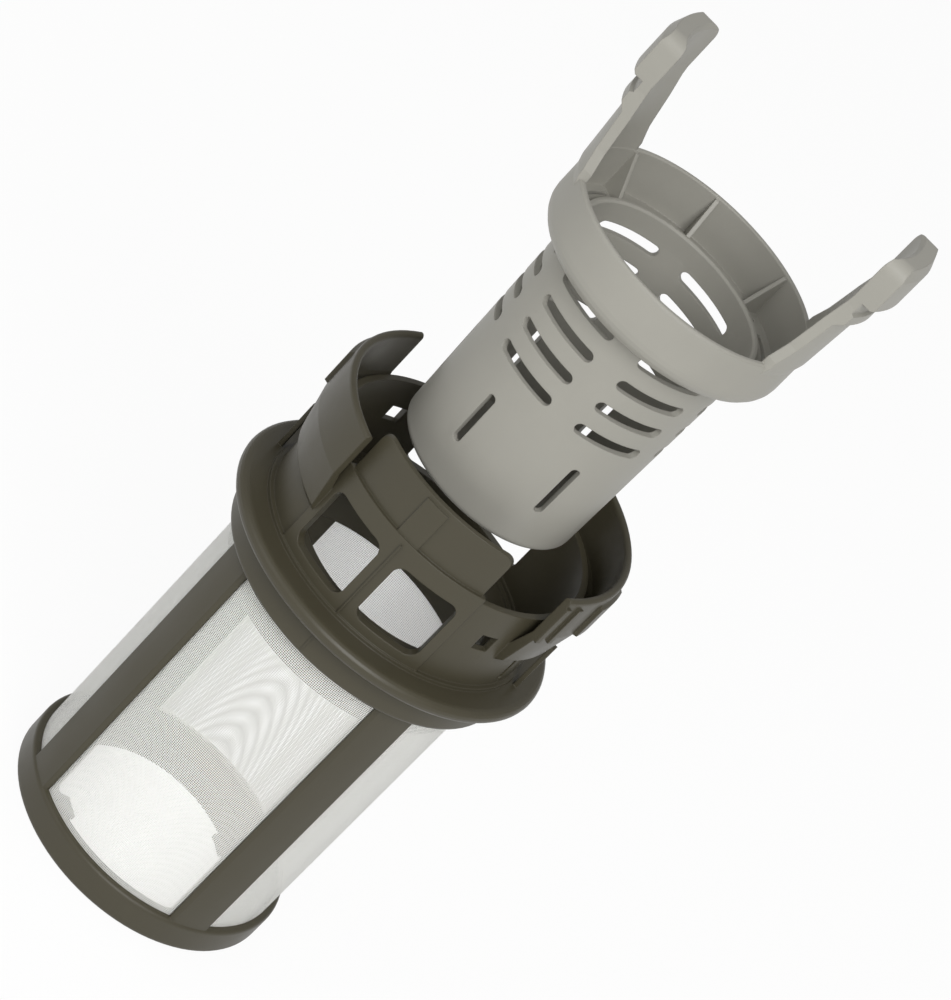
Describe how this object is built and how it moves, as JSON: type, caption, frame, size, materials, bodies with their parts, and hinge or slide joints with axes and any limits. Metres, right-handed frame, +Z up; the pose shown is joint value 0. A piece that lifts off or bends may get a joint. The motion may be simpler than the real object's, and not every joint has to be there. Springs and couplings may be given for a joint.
{
  "type": "dishwasher filter",
  "caption": "Drum-shaped filter with a flanged collar and woven sleeve, and a slotted cup with two squeeze prongs that lifts out of it.",
  "frame": {"origin": "centre of the bottom ring's underside, on the filter's axis", "axes": "+Z up along the filter's axis, towards the cup and its prongs; the wings face +X and -X; the front panel with its two windows faces -Y"},
  "size_m": [0.0906, 0.0906, 0.2535],
  "materials": {
    "dark_moulding": "satin moulded",
    "woven_mesh": "fine woven gauze",
    "grey_moulding": "satin moulded"
  },
  "bodies": {
    "cylinder": {"filter_cylinder": "dark_moulding", "mesh_sleeve": "woven_mesh"},
    "cup": {"cup_filter": "grey_moulding"}
  },
  "joints": [
    {"name": "cup_lift", "type": "slide", "parent": "cylinder", "child": "cup", "axis": [0, 0, 1], "range_m": [-0.0958, 0.01]}
  ]
}
